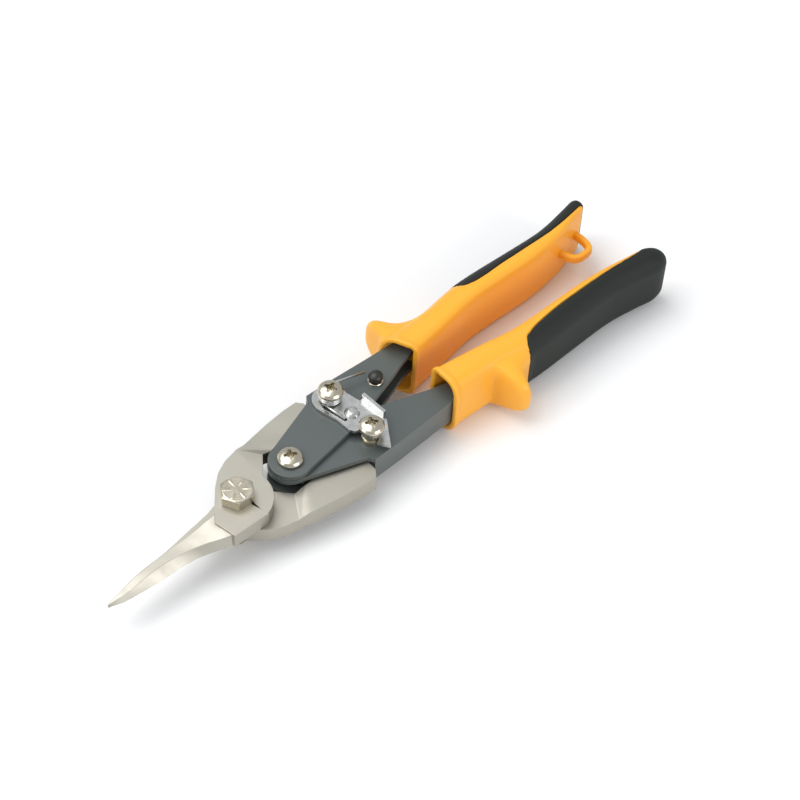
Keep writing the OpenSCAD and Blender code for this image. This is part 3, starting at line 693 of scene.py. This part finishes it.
def hex_bolt():
    """Hexagon head with six raised marks.

    Its outline grows from the middle, and a shallow cone cuts the top's corners.
    """
    flats, height, seat, turn = 11.1, 4.1, 18.5, math.radians(-35.4)
    angle = np.linspace(0, 2 * np.pi, 192, endpoint=False)
    folded = (angle + np.pi / 6) % (np.pi / 3) - np.pi / 6
    reach = flats / 2 / np.cos(folded) * 0.995
    share = np.concatenate([[0.02, 0.2, 0.35, 0.5, 0.6, 0.68, 0.74], np.linspace(0.78, 1, 14)])
    rho = share[:, None] * reach[None]
    flat_r = flats / 2 - 0.35
    z = height - np.maximum(rho - flat_r, 0) * 0.55
    across = np.abs(rho * np.sin(folded))
    mark = (
        (1 - smooth_step(0.22, 0.42, across))
        * smooth_step(2.6, 2.8, rho)
        * (1 - smooth_step(4.5, 4.7, rho))
    )
    mark_height = 0.1
    z = z + mark_height * mark
    x, y = rho * np.cos(angle + turn), rho * np.sin(angle + turn)
    top = np.stack([x, y, z + seat], -1)
    lower = []
    for scale, drop in ((1.0, 0.35), (0.992, 0.06), (0.975, 0.0)):
        lower.append(np.stack([
            reach * scale * np.cos(angle + turn), reach * scale * np.sin(angle + turn),
            np.full(len(angle), seat + drop),
        ], -1))
    shank = lathe([(3.18, seat), (3.17, seat - 0.1), (3.17, 0.3), (2.9, 0.0), (0.2, 0.0)], (0, 0), len(angle))
    points, faces = capped_tube(np.concatenate([top, lower, shank])[::-1] * MM)
    piece = mesh_piece(
        "pivot_bolt_hexagon_head", points, faces, NICKEL, "lower_blade", ["pivot_bolt"]
    )
    mark_sharp(piece, 24)


hex_bolt()
pan_screw("handle_pivot_pan_screw", (24, 0), 19.1, 3.0, 62, "lower_handle", "handle_pivot_screw")
pan_screw("upper_link_pan_screw", (52, 10.5), 23.9, 5.2, 20, "upper_handle", "upper_link_screw")
pan_screw("lower_link_pan_screw", (52, -10.5), 23.9, 3.0, 62, "lower_handle", "lower_link_screw")


def anchor_post():
    """A waisted rivet: a bright seat ring, a narrow neck and a round black head."""
    place = (70.5, 7.0)
    foot = [
        (0.2, 17.0), (1.6, 17.0), (1.6, 19.0), (2.7, 19.0), (2.8, 19.1), (2.8, 19.6), (2.6, 19.8), (1.9, 19.85)
    ]
    points, faces = capped_tube(lathe(foot + [(0.2, 19.85)], place) * MM)
    ring = mesh_piece("anchor_post_seat", points, faces, NICKEL, "upper_handle")
    mark_sharp(ring, 30)
    a = np.radians(np.linspace(-35, 88, 16))
    dome = [(2.7 * math.cos(t), 21.6 + 1.8 * math.sin(t)) for t in a]
    points, faces = capped_tube(lathe([(0.2, 19.6), (1.8, 19.6), (1.75, 20.6), *dome], place) * MM)
    head = mesh_piece(
        "anchor_post_head", points, faces, BLACK, "upper_handle", ["spring_anchor_post"]
    )
    mark_sharp(head, 40)


anchor_post()


# ---------------------------------------------------------------- springs


def coil_spring(name, centre, radius, wire, base, turns, start, leg_1, leg_2, material, body, node):
    """Round wire wound in a helix, its ends running off along their tangents to the given end points."""
    steps = int(turns * 40)
    angle = math.radians(start) + np.linspace(0, turns * 2 * np.pi, steps)
    helix = np.stack([
        centre[0] + radius * np.cos(angle),
        centre[1] + radius * np.sin(angle),
        base + wire / 2 + (wire + 0.05) * np.linspace(0, turns, steps),
    ], -1)
    path = np.vstack([np.asarray(leg_1, float), helix, np.asarray(leg_2, float)])
    points, faces = capped_tube(sweep(path, wire / 2) * MM)
    mesh_piece(name, points, faces, material, body, [node])


coil_spring(
    "main_torsion_spring", (24, 0), 5.45, 1.3, 10.5, 2.5, -90,
    [(39, -5.45, 11.15), (26, -5.45, 11.15)], [(26, 5.45, 14.5), (39, 5.45, 14.5)],
    SPRING, "lower_handle", "main_spring",
)
coil_spring(
    "latch_torsion_spring", (52, 10.5), 3.8, 0.8, 20.85, 2.75, -174,
    [(49.6, 0.1, 20.2), (49.5, 0.4, 20.9), (48.6, 6.0, 21.25)], [(54.0, 14.1, 23.3), (68.5, 10.2, 22.6)],
    ZINC, "latch", "latch_spring",
)


# ---------------------------------------------------------------- stage


def stage_floor():
    """A pale floor plane."""
    size = 3.0
    floor = bpy.data.meshes.new("floor")
    floor.from_pydata(
        [(-size, -size, 0), (size, -size, 0), (size, size, 0), (-size, size, 0)], [], [(0, 1, 2, 3)]
    )
    paper, shader, _ = new_material(
        "white_paper_floor", **{"Base Color": hex_linear("#F2F2F2"), "Roughness": 0.9}
    )
    floor.materials.append(paper)
    sheet = bpy.data.objects.new("floor", floor)
    bpy.context.scene.collection.objects.link(sheet)


def area_light(name, place, target, size, watts, colour="#FFFFFF"):
    light = bpy.data.lights.new(name, "AREA")
    light.shape = "RECTANGLE"
    light.size, light.size_y = size
    light.energy = watts
    light.color = hex_linear(colour)[:3]
    lamp = bpy.data.objects.new(name, light)
    back = np.subtract(place, target)
    back = back / np.linalg.norm(back)
    side = np.cross((0, 0, 1), back)
    side = side / np.linalg.norm(side)
    up = np.cross(back, side)
    lamp.matrix_world = Matrix([
        (side[0], up[0], back[0], place[0]),
        (side[1], up[1], back[1], place[1]),
        (side[2], up[2], back[2], place[2]),
        (0, 0, 0, 1),
    ])
    bpy.context.scene.collection.objects.link(lamp)


def studio():
    stage_floor()
    world = bpy.data.worlds.new("soft_white_studio")
    bpy.context.scene.world = world
    world.use_nodes = True
    world.node_tree.nodes["Background"].inputs["Color"].default_value = (0.95, 0.97, 1.0, 1)
    world.node_tree.nodes["Background"].inputs["Strength"].default_value = 0.6
    middle = (0.07, 0, 0)
    area_light("overhead_softbox", (-0.1, 0.35, 0.9), middle, (0.9, 0.7), 6.2)
    area_light("left_softbox", (-0.8, 0.3, 0.5), middle, (0.5, 0.5), 2.2)
    area_light("front_fill", (0.2, -0.9, 0.5), middle, (0.6, 0.4), 3.4)


def camera():
    """Camera at the viewing angle: place, heading, tilt and roll.

    Its lens is long enough to flatten the view.
    """
    heading, tilt, roll = (math.radians(v) for v in (-46.985, 49.055, 4.574))
    back = np.array([
        math.sin(heading) * math.cos(tilt), -math.cos(heading) * math.cos(tilt), math.sin(tilt)
    ])
    level = np.array([math.cos(heading), math.sin(heading), 0.0])
    lift = np.cross(back, level)
    right = level * math.cos(roll) + lift * math.sin(roll)
    up = -level * math.sin(roll) + lift * math.cos(roll)
    place = np.array([-357.816, -405.220, 695.022]) * MM
    data = bpy.data.cameras.new("camera")
    data.sensor_width = 36.0
    data.lens = 115.0
    data.clip_end = 20
    eye = bpy.data.objects.new("camera", data)
    eye.matrix_world = Matrix([
        (right[0], up[0], back[0], place[0]),
        (right[1], up[1], back[1], place[1]),
        (right[2], up[2], back[2], place[2]),
        (0, 0, 0, 1),
    ])
    bpy.context.scene.collection.objects.link(eye)
    bpy.context.scene.camera = eye


studio()
camera()
bpy.context.scene.view_settings.view_transform = "Standard"
